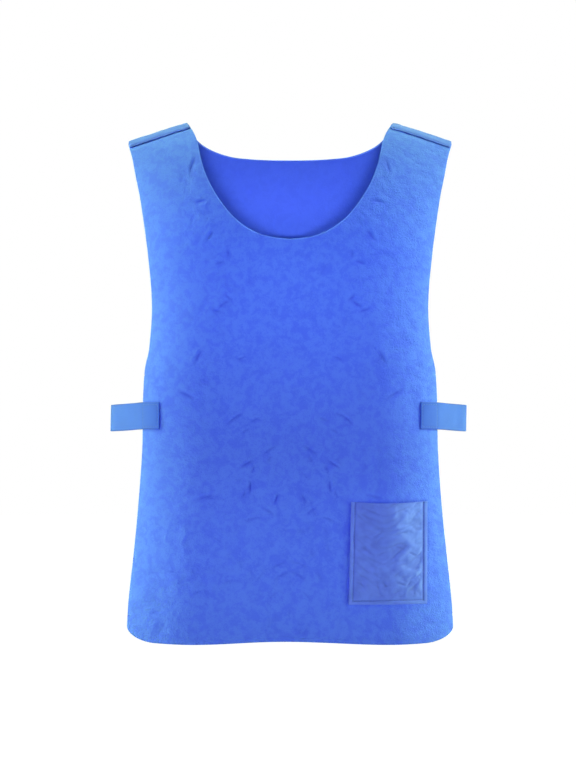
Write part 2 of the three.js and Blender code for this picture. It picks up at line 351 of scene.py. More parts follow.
def near_box(x, y, left, right, low, high):
    """Distance outside a rectangle, as an array, and below 0 inside it."""
    out_x = np.maximum(left - x, x - right)
    out_y = np.maximum(low - y, y - high)
    outside = np.hypot(np.maximum(out_x, 0), np.maximum(out_y, 0))
    return outside + np.minimum(np.maximum(out_x, out_y), 0)


# The noise that bends the crinkle is drawn the same on every run
noise.seed_set(4)


def crinkle(x, along, seed):
    """Height of the crinkled cloth at a place on its flat cut, as its broad swells, soft dents and fine
    grain, and apart from them the creases. patch is how strongly it crinkles there, and broken is 0
    where creases break off."""
    here = Vector((x, along, seed))
    bent = here + noise.noise_vector(here * BENDS) * BEND_REACH
    patch = 0.5 + 0.5 * noise.noise(here * 22 + Vector((7, 3, 1)))
    patch = min(max(1.9 * patch - 0.4, 0.12), 1)
    broken = min(max(2.6 * noise.noise(bent * 60 + Vector((3, 3, 6))), 0), 1)
    swell = SWELL_HEIGHT * noise.noise(here * SWELLS)
    dents = DENT_HEIGHT * noise.noise(bent * DENTS)
    grain = GRAIN_HEIGHT * noise.noise(here * GRAINS)
    lines = 0.0
    for count, offset, narrowness, depth, breaks in WANDERING_CREASES:
        line = 1 - min(abs(noise.noise(bent * count + Vector(offset))) * narrowness, 1)
        lines -= depth * line**3 * (broken if breaks else 1)
    return swell + dents * patch + grain, lines * patch


def pressed_creases(x, drop, creases):
    """Height of the single creases that can be made out in the cloth, the same on both halves. Each
    has a low ridge on one side and fades out towards its ends."""
    height = 0.0
    for across, down, half_length, lean, bow, depth, breadth in creases:
        dx = abs(x) - across
        dy = drop - down
        if dx * dx + dy * dy > (half_length * 2) ** 2:
            continue
        u = (dx * math.cos(lean) + dy * math.sin(lean)) / half_length
        v = (dy * math.cos(lean) - dx * math.sin(lean) - bow * u * u) / breadth
        fade = max(1 - u * u, 0) ** 1.2
        height += depth * fade * (0.5 * math.exp(-((v + 1.8) ** 2)) - math.exp(-v * v))
    return height


def laid_cloth(name, bm, place, off_edge, wall, painted_shade, faces, thinnest=0.16):
    """Lays flat cut cloth on its form, keeps the flat cut as its UV map, and gives it a wall that is
    rounded off at its cut edges. off_edge is each vertex's distance from the nearest of them,
    painted_shade is how much painted shade darkens its colour in creases, grooves and hollows, and
    faces are its outer and its inner material."""
    cut_map = bm.loops.layers.uv.new("cut")
    for face in bm.faces:
        for loop in face.loops:
            loop[cut_map].uv = loop.vert.co.xy
    for v, co in zip(bm.verts, place):
        v.co = co
    piece = finished(name, bm)
    for material in faces:
        piece.data.materials.append(material)
    # Painted shade is kept on each vertex, for the materials to darken their colour by
    depth = piece.data.attributes.new("painted_shade", "FLOAT", "POINT")
    depth.data.foreach_set("value", np.clip(painted_shade, 0, 1).astype(np.float32))
    share = np.sqrt(1 - np.clip(1 - off_edge / (wall / 2), 0, 1) ** 2)
    thickness = piece.vertex_groups.new(name="thickness")
    for i, s in enumerate(np.maximum(share, thinnest)):
        thickness.add([i], float(s), "REPLACE")
    solid = piece.modifiers.new("wall", "SOLIDIFY")
    solid.thickness = wall
    solid.offset = 0
    solid.vertex_group = "thickness"
    solid.use_quality_normals = True
    solid.material_offset = len(faces) - 1
    return with_modifiers_applied(piece)


def with_coarser_inside(piece, off_edge, kept):
    """Thins out the faces of a piece's smooth inner side, away from its edges."""
    inner = piece.vertex_groups.new(name="inner")
    away = np.nonzero(off_edge > RIM / 2)[0]
    inner.add((away + len(off_edge)).tolist(), 1.0, "REPLACE")
    thin = piece.modifiers.new("thin_inside", "DECIMATE")
    thin.ratio = 0.5 + 0.5 * kept
    thin.vertex_group = "inner"
    thin.vertex_group_factor = 10
    return with_modifiers_applied(piece)


def add_edge_rings(bm, rings):
    """Cuts narrow rings of faces along the rim of flat cloth, the widest first."""
    for ring in rings:
        bmesh.ops.inset_region(
            bm, faces=bm.faces, thickness=ring, use_boundary=True, use_even_offset=True
        )


def cloth_panel(name, cloth, seed, creases, pressed, faces):
    """Cuts a panel from a flat grid, rounds its cut edge, crinkles it and lays it on its form.
    pressed gives, at places on it, how freely it crinkles and how far it is pressed in."""
    half_height = 0.5 * cloth.along_at(0.0, LENGTH + 0.01)
    half_width = HEM_HALF + 4 * CELL
    bm = bmesh.new()
    bmesh.ops.create_grid(
        bm,
        x_segments=round(2 * half_width / CELL),
        y_segments=round(2 * half_height / CELL),
        size=1,
    )
    bmesh.ops.scale(bm, vec=(half_width, half_height, 1), verts=bm.verts)
    bmesh.ops.translate(bm, vec=(0, half_height, 0), verts=bm.verts)

    flat = np.array([v.co for v in bm.verts])
    reached = cloth.inside(flat[:, 0], cloth.drop_at(flat[:, 0], flat[:, 1]))
    outside = [v for v, kept in zip(bm.verts, reached) if not kept]
    bmesh.ops.delete(bm, geom=outside, context="VERTS")
    stray = [v for v in bm.verts if len(v.link_faces) == 0]
    bmesh.ops.delete(bm, geom=stray, context="VERTS")

    half = cloth.outline()
    cut = np.concatenate([half, half * (-1, 1)])
    tree = KDTree(len(cut))
    for i, at in enumerate(cut):
        tree.insert((at[0], at[1], 0), i)
    tree.balance()
    for v in bm.verts:
        if v.is_boundary:
            v.co = tree.find(v.co)[0]
    eased = CUT_EASED_CELLS * CELL
    near = [v for v in bm.verts if not v.is_boundary and tree.find(v.co)[2] < eased]
    for _ in range(CUT_EASED_TIMES):
        bmesh.ops.smooth_vert(bm, verts=near, factor=0.5, use_axis_x=True, use_axis_y=True)
    add_edge_rings(bm, EDGE_RINGS)

    flat = np.array([v.co for v in bm.verts])
    x, along = flat[:, 0], flat[:, 1]
    drop = cloth.drop_at(x, along)
    off_edge = np.array([tree.find(v.co)[2] for v in bm.verts])
    soft, lines = np.array([crinkle(across, down, seed) for across, down in zip(x, along)]).T
    marked = np.array([pressed_creases(across, down, creases) for across, down in zip(x, drop)])
    freedom, pressing = pressed(x, drop)
    freedom = freedom * lerp(RIM_CRINKLE, 1, smoothstep(off_edge, 0, RIM))
    pressing = pressing * smoothstep(off_edge, -0.002, 0.006)
    relief = (soft + lines + marked) * freedom
    # Painted shade: the colour is darkened in the creases and in the grooves beside the sewn pieces
    painted_shade = CREASE_SHADE * np.clip(-(LINE_SHADE * lines + marked) / FULL_SHADE_DEPTH, 0, 1) * freedom
    painted_shade = painted_shade + PRESSED_SHADE * (pressing / FULL_SHADE_DEPTH) ** 2
    place, outward = cloth.point(x, drop, PADDING / 2 + relief - pressing)
    if cloth.facing < 0:
        bmesh.ops.reverse_faces(bm, faces=bm.faces)
    piece = laid_cloth(name, bm, place, off_edge, PADDING, painted_shade, faces)
    smoothed = INNER_SMOOTHNESS * relief * smoothstep(off_edge, EDGE_RINGS[0], RIM)
    at = np.array([v.co for v in piece.data.vertices])
    at[len(flat) : 2 * len(flat)] -= outward * smoothed[:, None]
    piece.data.vertices.foreach_set("co", at.ravel())
    return with_coarser_inside(piece, off_edge, INNER_FACES_KEPT)


# What presses the panels: the band that is folded over each shoulder, the straps' sewn ends, and on
# the front the pocket. Each sits in a shallow groove that its stitches pull into the padding.
BAND_FALL = 0.0088
STRAP_DROP = 0.361
STRAP_WIDTH = 0.033
STRAP_SEWN_AT = 0.1575
POCKET_WIDTH = 0.0915
POCKET_HEIGHT = 0.125
POCKET_ABOVE_HEM = 0.0495
POCKET_FROM_MIDDLE = 0.074
POCKET_LEAN = 0.003
SEAT = 0.0006
FLAT_UNTIL = 0.0005
FREE_FROM = 0.009
PRESSED_UNTIL = 0.0004

# How deep each presses its edge into the padding, and how wide the groove beside it is
BAND_PRESS = (0.0003, 0.0020)
STRAP_PRESS = (SEAT, 0.0007)
POCKET_PRESS = (0.0010, 0.0010)


def under(away, freedom, pressing, depth, breadth):
    """Presses the cloth flat and in under a sewn piece, and eases it out beside the piece's edge."""
    flat = smoothstep(away, FLAT_UNTIL, FREE_FROM)
    pressed_in = depth * np.exp(-((np.maximum(away - PRESSED_UNTIL, 0) / breadth) ** 2))
    return np.minimum(freedom, flat), np.maximum(pressing, pressed_in)


def pressed_by_bands_and_straps(x, drop):
    freedom, pressing = np.ones_like(x), np.zeros_like(x)
    below_band = FRONT.along_at(x, drop) - np.interp(BAND_FALL, FRONT.falls, FRONT.alongs)
    freedom, pressing = under(below_band, freedom, pressing, *BAND_PRESS)
    top, bottom = STRAP_DROP - STRAP_WIDTH / 2, STRAP_DROP + STRAP_WIDTH / 2
    strap = near_box(np.abs(x), drop, STRAP_SEWN_AT, 1, top, bottom)
    return under(strap, freedom, pressing, *STRAP_PRESS)


def pressed_in_front(x, drop):
    freedom, pressing = pressed_by_bands_and_straps(x, drop)
    bottom = LENGTH - POCKET_ABOVE_HEM
    top = bottom - POCKET_HEIGHT
    inner = POCKET_FROM_MIDDLE - POCKET_LEAN * np.clip((drop - top) / POCKET_HEIGHT, 0, 1)
    pocket = near_box(x, drop, inner, POCKET_FROM_MIDDLE + POCKET_WIDTH, top, bottom)
    sewn = smoothstep(drop, top - 0.004, top + 0.004)
    depth, breadth = POCKET_PRESS
    return under(pocket, freedom, pressing, depth * sewn, breadth)


FRONT = Cloth(
    facing=-1,
    depth=0.103,
    neck_drop=0.1466,
    neck_rows=[
        (0, 1), (0.174, 0.984), (0.356, 0.933), (0.54, 0.82), (0.689, 0.659), (0.79, 0.505),
        (0.857, 0.348), (0.913, 0.143), (1, 0),
    ],
    hang_rows=[(0, 1), (0.3, 1), (0.65, 0.955), (1, 0.925)],
    folds=[
        (-0.64, 0.0035, 0.16, 0.4), (-0.22, -0.0025, 0.15, 0.5),
        (0.16, 0.002, 0.13, 0.6), (0.66, 0.003, 0.16, 0.4),
    ],
)

# Creases of the front, the same on both halves: how far from the middle line and how far down they
# lie, half length, lean, bow, depth and half breadth
FRONT_CREASES = [
    (0.0674, 0.3632, 0.013, 0.65, 0.0016, 0.0012, 0.0016),
    (0.0419, 0.365, 0.007, 0.4, 0.0005, 0.0009, 0.0016),
    (0.0539, 0.379, 0.006, 0.5, 0.0004, 0.0009, 0.0015),
    (0.0249, 0.402, 0.011, 0.6, 0.001, 0.0011, 0.0016),
    (0.025, 0.413, 0.005, 0.9, 0, 0.0009, 0.0018),
    (0.0532, 0.419, 0.011, 0.58, 0.001, 0.0011, 0.0016),
    (0.045, 0.426, 0.006, 1.2, 0, 0.0009, 0.0016),
    (0.0487, 0.4477, 0.009, 1.55, 0, 0.0011, 0.0016),
    (0.056, 0.456, 0.006, 1.1, 0, 0.0008, 0.0016),
    (0.017, 0.462, 0.008, 1.2, 0.001, 0.0011, 0.0022),
    (0.026, 0.476, 0.009, -0.6, 0.001, 0.001, 0.002),
    (0.046, 0.486, 0.01, 0.3, 0.001, 0.0009, 0.0018),
    (0.014, 0.5416, 0.011, 0.44, 0.001, 0.0007, 0.0014),
    (0.0109, 0.5549, 0.013, 0.55, 0.0014, 0.0007, 0.0016),
    (0.0206, 0.5792, 0.008, 0.78, 0.0006, 0.0006, 0.0014),
    (0.036, 0.556, 0.009, 0.9, 0.0006, 0.0005, 0.0015),
    (0.0753, 0.1645, 0.006, 1.55, 0, 0.001, 0.0016),
    (0.085, 0.175, 0.007, 0.3, 0.0005, 0.001, 0.0018),
    (0.0813, 0.2256, 0.01, 0.6, 0.001, 0.0012, 0.0024),
    (0.074, 0.218, 0.007, -0.7, 0.0006, 0.0011, 0.002),
    (0.09, 0.233, 0.008, -0.3, 0.0006, 0.0011, 0.0022),
    (0.0589, 0.291, 0.007, 0.45, 0.0004, 0.0009, 0.0016),
    (0.098, 0.142, 0.01, 0.9, 0.001, 0.001, 0.0022),
    (0.119, 0.056, 0.014, 1.3, 0.001, 0.0009, 0.002),
    (0.108, 0.101, 0.008, 0.2, 0.0006, 0.001, 0.002),
    (0.112, 0.29, 0.012, 1.1, 0.0012, 0.001, 0.0024),
    (0.125, 0.335, 0.014, -0.5, 0.0012, 0.001, 0.0024),
    (0.105, 0.46, 0.016, 0.3, 0.0014, 0.0009, 0.0024),
]


def paint_tones(nodes, links, shader, pattern, low, dark, high, light, shade=(1, 1, 1)):
    """Colours a shader from a dark tone, where a pattern is at low or under, to a light one, at high or
    over, and darkens it towards shade as painted shade where the cloth lies in a crease or a groove."""
    tones = nodes.new("ShaderNodeValToRGB")
    for stop, position, tone in zip(tones.color_ramp.elements, (low, high), (dark, light)):
        stop.position = position
        stop.color = (*tone, 1)
    painted_shade = nodes.new("ShaderNodeAttribute")
    painted_shade.attribute_name = "painted_shade"
    mix = nodes.new("ShaderNodeMix")
    mix.data_type = "RGBA"
    mix.blend_type = "MULTIPLY"
    mix.inputs[7].default_value = (*shade, 1)
    links.new(pattern, tones.inputs["Fac"])
    links.new(painted_shade.outputs["Fac"], mix.inputs[0])
    links.new(tones.outputs["Color"], mix.inputs[6])
    links.new(mix.outputs[2], shader.inputs["Base Color"])
    return tones


def cloth_material(name, base, marks, tint, grain, wrinkle, sheen, roughness, shade=(1, 1, 1)):
    """Soft cloth with a nap: where the nap lies another way it is a little darker, in smudges that
    drift over it, and its face has small wrinkles. wrinkle is their height in metres, and shade is
    the colour of the painted shade that darkens it in creases and grooves."""
    material, nodes, links, shader = new_paint(name)
    place = nodes.new("ShaderNodeTexCoord").outputs["Object"]

    noise_kind, bump_kind = "ShaderNodeTexNoise", "ShaderNodeBump"
    drift = new_node(nodes, noise_kind, ("Scale", 95), ("Detail", 3), ("Distortion", 0.8))
    smudges = new_node(nodes, noise_kind, ("Scale", 330), ("Detail", 5), ("Distortion", 1.4))
    smudges.inputs["Roughness"].default_value = 0.62
    both = nodes.new("ShaderNodeMath")
    both.operation = "MULTIPLY"
    links.new(place, drift.inputs["Vector"])
    links.new(place, smudges.inputs["Vector"])
    links.new(drift.outputs["Fac"], both.inputs[0])
    links.new(smudges.outputs["Fac"], both.inputs[1])
    drifting = both.outputs["Value"]
    tones = paint_tones(nodes, links, shader, drifting, 0.17, marks, 0.31, base, shade)
    tones.color_ramp.interpolation = "EASE"

    small = new_node(nodes, noise_kind, ("Scale", 260), ("Detail", 4), ("Distortion", 1.6))
    fibres = new_node(nodes, noise_kind, ("Scale", grain), ("Detail", 2))
    links.new(place, small.inputs["Vector"])
    links.new(place, fibres.inputs["Vector"])
    wrinkles = new_node(nodes, bump_kind, ("Distance", wrinkle))
    fluff = new_node(nodes, bump_kind, ("Distance", 0.15 * wrinkle))
    links.new(small.outputs["Fac"], wrinkles.inputs["Height"])
    links.new(fibres.outputs["Fac"], fluff.inputs["Height"])
    links.new(wrinkles.outputs["Normal"], fluff.inputs["Normal"])
    links.new(fluff.outputs["Normal"], shader.inputs["Normal"])

    set_sockets(shader, ("Roughness", roughness), ("Specular IOR Level", 0.22))
    set_sockets(shader, ("Sheen Weight", sheen), ("Sheen Roughness", 0.5))
    set_sockets(shader, ("Sheen Tint", (*tint, 1)))
    return material


panel_cloth = cloth_material(
    "panel_cloth",
    base=(0.066, 0.160, 0.86),
    marks=(0.052, 0.122, 0.84),
    tint=(0.35, 0.72, 1.0),
    grain=1400,
    wrinkle=0.0008,
    sheen=0.3,
    roughness=0.85,
    shade=(0.60, 0.56, 0.86),
)
# Painted light: the panels' inner faces are redder and bluer than the outer cloth, with paler marks, to
# brighten the inside of the back, which the lamps reach less
inner_cloth_painted_light = cloth_material(
    "inner_cloth_painted_light",
    base=(0.074, 0.150, 0.92),
    marks=(0.069, 0.140, 0.89),
    tint=(0.35, 0.72, 1.0),
    grain=1800,
    wrinkle=0.0004,
    sheen=0.2,
    roughness=0.8,
)
panel_faces = (panel_cloth, inner_cloth_painted_light)
front_panel = cloth_panel(
    "front_cloth", FRONT, 1.7, FRONT_CREASES, pressed_in_front, panel_faces
)
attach(front_panel, "root")
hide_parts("front_panel")

# Back panel. It is cut from the same cloth as the front, with a shallow neck, and its smoother inner
# face shows in the neck hole.
BACK = Cloth(
    facing=1,
    depth=0.084,
    neck_drop=0.0386,
    neck_rows=[(0, 1), (0.2, 0.995), (0.4, 0.968), (0.6, 0.9), (0.8, 0.69), (0.931, 0.4), (1, 0)],
    hang_rows=[(0, 1), (0.45, 0.9), (1, 0.96)],
    folds=[(-0.6, 0.0035, 0.17, 0.4), (-0.05, -0.003, 0.2, 0.35), (0.55, 0.004, 0.15, 0.45)],
)
BACK_CREASES = [
    (0.08, 0.09, 0.01, 1.2, 0.001, 0.0006, 0.0022),
    (0.06, 0.115, 0.008, 1, 0.001, 0.0004, 0.002),
    (0.05, 0.26, 0.018, 0.5, 0.003, 0.0007, 0.002),
    (0.095, 0.34, 0.016, -0.6, 0.002, 0.0006, 0.0019),
    (0.04, 0.43, 0.018, 0.7, 0.002, 0.0007, 0.002),
    (0.12, 0.49, 0.018, 0.3, 0.002, 0.0006, 0.002),
    (0.03, 0.57, 0.014, 0.5, 0.0014, 0.0007, 0.0019),
]
back_panel = cloth_panel(
    "back_cloth", BACK, 5.3, BACK_CREASES, pressed_by_bands_and_straps, panel_faces
)
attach(back_panel, "root")
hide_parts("back_panel")

# Shoulder bands. Each is a smooth strip that covers the seam between the panels: it is folded over
# the top of the shoulder and stitched down along both of its edges, which puckers it a little.
BAND_WALL = 0.0014
BAND_GAP = 0.0004
BAND_INSET = 0.001
BAND_LEAN = 0.35
BAND_LEAN_FADE = 6
BAND_CELL = 0.0010
BAND_STITCH_IN = 0.0022
BAND_RISE = 0.0002
BAND_TUCK = 0.0005
BAND_GROOVE = 0.00035
GROOVE_BREADTH = 0.0008
BAND_EDGE_RINGS = (0.0005, 0.0002)
STITCH_LENGTH = 0.0026
STITCH_GAP = 0.0009
THREAD = 0.00042
THREAD_FROM = 0.009
THREAD_PAST = 0.004


def flat_rectangle(width, height, cell, rings):
    """A flat grid of square cells around the origin, with narrow rings along its rim, and each
    vertex's distance from the rim."""
    bm = bmesh.new()
    columns, rows = round(width / cell), round(height / cell)
    bmesh.ops.create_grid(bm, x_segments=columns, y_segments=rows, size=0.5)
    bmesh.ops.scale(bm, vec=(width, height, 1), verts=bm.verts)
    add_edge_rings(bm, rings)
    flat = np.array([v.co for v in bm.verts])
    off_edge = np.minimum(width / 2 - np.abs(flat[:, 0]), height / 2 - np.abs(flat[:, 1]))
    return bm, flat, np.maximum(off_edge, 0)


def waves(*coordinates):
    """Smooth noise, from about -1 to 1, at places given by their three coordinates."""
    return np.array([noise.noise(Vector(place)) for place in np.broadcast(*coordinates)])


def band_place(toward, x, over, lift):
    """A place on a band: over runs from -1 at its front edge, over the ridge, to 1 at the back."""
    fall = BAND_FALL * np.abs(over) ** (1 / ROLL_POWER)
    near, far = NECK_HALF + BAND_INSET, SHOULDER_HALF - BAND_INSET
    neck_side = np.clip(1 - (np.abs(x) - near) / (far - near), 0, 1)
    leaning = neck_side**BAND_LEAN_FADE + (1 - neck_side) ** BAND_LEAN_FADE
    x = x - toward * BAND_LEAN * fall * leaning
    front, _ = FRONT.point(x, ridge_drop(x) + fall, lift)
    back, _ = BACK.point(x, ridge_drop(x) + fall, lift)
    place = np.where((over < 0)[:, None], front, back)
    on_ridge = np.abs(over) < 0.02
    place[on_ridge, 1] = (over[on_ridge] / 0.02) * np.abs(back[on_ridge, 1])
    return place


def band_pucker(across, over, seed):
    """Small pleats across the band, deepest where its stitches gather it."""
    gathered = (0.35 + 0.65 * np.abs(over) ** 2) * (0.6 + 1.4 * smoothstep(-across, -0.02, 0.03))
    pleats = 0.00075 * waves(across * 150, over * 1.3, seed) * gathered
    return pleats + 0.0005 * waves(across * 55, over * 2.5, seed + 4)


def thread_on(surface, above, outward):
    """Where rays from places above the cloth meet it, with its normals there."""
    places, normals = [], []
    for place, normal in zip(above, outward):
        hit, facing, _, _ = surface.ray_cast(Vector(place), -Vector(normal), 0.02)
        if hit is None:
            continue
        places.append(hit)
        normals.append(facing if facing.dot(Vector(normal)) > 0 else -facing)
    return np.array(places), np.array(normals)


def sew(piece, name, rows):
    """Sews rows of stitches on a finished piece, each row given as places above its cloth with their
    outward directions. Each stitch is a short length of thread that dips in at both ends."""
    mesh = piece.data
    surface = BVHTree.FromPolygons([v.co for v in mesh.vertices], [p.vertices for p in mesh.polygons])
    bm = bmesh.new()
    for above, outward in rows:
        places, normals = thread_on(surface, above, outward)
        steps = np.linalg.norm(np.diff(places, axis=0), axis=1)
        along = np.concatenate([[0], np.cumsum(steps)])
        count = int(along[-1] / (STITCH_LENGTH + STITCH_GAP))
        for i in range(count):
            at = (i + 0.5) * along[-1] / count
            k = min(np.searchsorted(along, at), len(along) - 1)
            share = (at - along[k - 1]) / max(along[k] - along[k - 1], 1e-9)
            centre = Vector(places[k - 1] * (1 - share) + places[k] * share)
            line = Vector(places[k] - places[k - 1]).normalized()
            up = Vector(normals[k]).normalized()
            side = up.cross(line).normalized()
            up = line.cross(side)
            turn = Matrix((line, side, up)).transposed().to_4x4()
            stretch = Matrix.Diagonal((STITCH_LENGTH / THREAD, 1, 1, 1))
            lie_down = Matrix.Rotation(math.pi / 2, 4, "Y")
            place = Matrix.Translation(centre + up * THREAD * 0.05) @ turn @ stretch @ lie_down
            bmesh.ops.create_uvsphere(
                bm, u_segments=7, v_segments=5, radius=THREAD / 2, matrix=place
            )
    stitches = finished(name, bm)
    stitches.data.materials.append(thread_paint)
    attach(stitches, "root")


band_cloth = cloth_material(
    "band_cloth",
    base=(0.055, 0.126, 0.75),
    marks=(0.050, 0.113, 0.72),
    tint=(0.5, 0.8, 1.0),
    grain=2600,
    wrinkle=0.0003,
    sheen=0.2,
    roughness=0.75,
    shade=(0.5, 0.5, 0.7),
)
thread_paint = cloth_material(
    "thread",
    base=(0.060, 0.15, 0.66),
    marks=(0.055, 0.135, 0.60),
    tint=(0.5, 0.8, 1.0),
    grain=6000,
    wrinkle=0.0001,
    sheen=0.2,
    roughness=0.5,
)
for toward, side_name, seed in ((1, "left", 2.0), (-1, "right", 8.0)):
    near, far = NECK_HALF + BAND_INSET, SHOULDER_HALF - BAND_INSET
    reach = float(np.interp(BAND_FALL, FRONT.falls, FRONT.alongs))
    bm, flat, off_edge = flat_rectangle(far - near, 2 * reach, BAND_CELL, BAND_EDGE_RINGS)
    edge_wave = 0.09 * waves(flat[:, 0] * 70, seed, 6.0) * smoothstep(-flat[:, 0], -0.03, 0.02)
    over = flat[:, 1] / reach * (1 + edge_wave)
    x = toward * (flat[:, 0] + (near + far) / 2)
    stitched = reach * (1 - np.abs(over)) - BAND_STITCH_IN
    groove = BAND_GROOVE * np.exp(-((stitched / GROOVE_BREADTH) ** 2))
    lift = PADDING + BAND_GAP + BAND_WALL / 2 + BAND_RISE
    lift = lift + band_pucker(flat[:, 0], over, seed) * (0.3 + 0.7 * smoothstep(off_edge, 0, 0.006))
    lift = lift - BAND_TUCK * (1 - smoothstep(off_edge, 0, 0.004))
    place = band_place(toward, x, over, lift - groove)
    # Painted shade: the band is darkened in the groove of its stitches
    painted_shade = groove / BAND_GROOVE * 0.5
    if toward < 0:
        bmesh.ops.reverse_faces(bm, faces=bm.faces)
    name = f"shoulder_band_{side_name}_cloth"
    band = laid_cloth(name, bm, place, off_edge, BAND_WALL, painted_shade, [band_cloth], thinnest=0.3)
    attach(band, "root")
    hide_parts(f"shoulder_band_{side_name}")

    rows = []
    for edge in (-1, 1):
        across = np.linspace(near + 0.001, far - 0.001, 90) * toward
        over = np.full_like(across, edge * (1 - BAND_STITCH_IN / reach))
        above = band_place(toward, across, over, THREAD_FROM)
        outward = (above - band_place(toward, across, over, THREAD_PAST)) / (THREAD_FROM - THREAD_PAST)
        rows.append((above, outward))
    sew(band, f"shoulder_band_{side_name}_stitches", rows)

# Side straps. Each is a length of soft woven webbing that joins the front to the back below the
# armhole. Both of its ends are sewn flat on the panels with a box of stitches, and between them it
# bows out round the side and sags a little.
STRAP_WALL = 0.0018
STRAP_SAG = 0.004
STRAP_REACH = {"left": 0.2200, "right": 0.2235}
STRAP_BOW = 0.042
STRAP_TURN = 0.85
SEWN_GAP = 0.0003
STRAP_CELL = 0.0015
STRAP_EDGE_RINGS = (0.0006, 0.00025)
STRAP_STITCH_IN = 0.0028
STRAP_GROOVE = 0.0003
STRAP_RIPPLE = 0.0011
# How far in from each edge of the strap its painted shade reaches
STRAP_EDGE_SHADE = 0.0009
LOOSE_AT = 0.06
ROUTE_STEPS = 900


def centripetal(points, count):
    """Evenly spaced places on a centripetal curve through points, with its directions there."""
    p = np.array([2 * points[0] - points[1], *points, 2 * points[-1] - points[-2]])
    gap = np.linalg.norm(np.diff(p, axis=0), axis=1) ** 0.5
    pieces = []
    for i in range(1, len(p) - 2):
        before, here, after = gap[i - 1], gap[i], gap[i + 1]
        start = (p[i] - p[i - 1]) / before - (p[i + 1] - p[i - 1]) / (before + here)
        start = (start + (p[i + 1] - p[i]) / here) * here
        end = (p[i + 1] - p[i]) / here - (p[i + 2] - p[i]) / (here + after)
        end = (end + (p[i + 2] - p[i + 1]) / after) * here
        t = np.linspace(0, 1, 120, endpoint=False)[:, None]
        curve = p[i] + t * start + t**2 * (-3 * p[i] + 3 * p[i + 1] - 2 * start - end)
        pieces.append(curve + t**3 * (2 * p[i] - 2 * p[i + 1] + start + end))
    dense = np.concatenate([*pieces, p[-2:-1]])
    length = np.concatenate([[0], np.cumsum(np.linalg.norm(np.diff(dense, axis=0), axis=1))])
    even = np.linspace(0, length[-1], count)
    places = np.stack([np.interp(even, length, dense[:, k]) for k in range(3)], -1)
    directions = np.gradient(places, axis=0)
    directions[:, 2] = 0
    return places, directions / np.linalg.norm(directions, axis=1, keepdims=True), length[-1]


def strap_points(toward, reach):
    """The strap's route: along the front panel, round the side and along the back panel."""
    lift = PADDING + SEWN_GAP + STRAP_WALL / 2
    share = np.array([0, 0.35, 0.7, 1])
    x = toward * lerp(STRAP_SEWN_AT, edge_half(STRAP_DROP), share)
    front, _ = FRONT.point(x, np.full(4, STRAP_DROP), lift)
    back, _ = BACK.point(x, np.full(4, STRAP_DROP), lift)
    back = back[::-1]
    middle = (front[-1, 1] + back[0, 1]) / 2
    turn = np.array([-1, -0.5, 0, 0.5, 1]) * STRAP_TURN
    bow_x = toward * (reach - STRAP_WALL / 2 - STRAP_BOW * (1 - np.cos(turn)))
    bow = np.stack([bow_x, middle + STRAP_BOW * np.sin(turn), np.full(5, -STRAP_DROP)], -1)
    return np.concatenate([front, bow, back])


def weave(nodes, links, shader, flat_cut, joined, height, strength, *yarns):
    """Gives a shader the relief of woven yarns, first along and then across the flat cut."""
    woven = nodes.new("ShaderNodeMath")
    woven.operation = joined
    for i, sockets in enumerate(yarns):
        threads = new_node(nodes, "ShaderNodeTexWave", *sockets)
        threads.wave_type = "BANDS"
        threads.bands_direction = "XY"[i]
        links.new(flat_cut, threads.inputs["Vector"])
        links.new(threads.outputs["Fac"], woven.inputs[i])
    relief = new_node(nodes, "ShaderNodeBump", ("Distance", height), ("Strength", strength))
    links.new(woven.outputs["Value"], relief.inputs["Height"])
    links.new(relief.outputs["Normal"], shader.inputs["Normal"])


webbing, nodes, links, shader = new_paint("strap_webbing")
coordinates = nodes.new("ShaderNodeTexCoord").outputs
ribs = (("Scale", 260), ("Distortion", 0.6), ("Detail", 2), ("Detail Scale", 3))
yarns = (("Scale", 300), ("Distortion", 0.5))
weave(nodes, links, shader, coordinates["UV"], "MULTIPLY", 0.00025, 0.6, ribs, yarns)
wear = new_node(nodes, "ShaderNodeTexNoise", ("Scale", 60), ("Detail", 4))
links.new(coordinates["Object"], wear.inputs["Vector"])
# The tones wander at random; painted_shade_colour is the painted shade in its grooves and along its
# edges
dark, light, painted_shade_colour = (0.017, 0.082, 0.62), (0.020, 0.090, 0.66), (0.45, 0.5, 0.65)
paint_tones(nodes, links, shader, wear.outputs["Fac"], 0.3, dark, 0.7, light, painted_shade_colour)
set_sockets(shader, ("Roughness", 0.7), ("Specular IOR Level", 0.3))
set_sockets(shader, ("Sheen Weight", 0.15), ("Sheen Tint", (0.6, 0.8, 1.0, 1)))

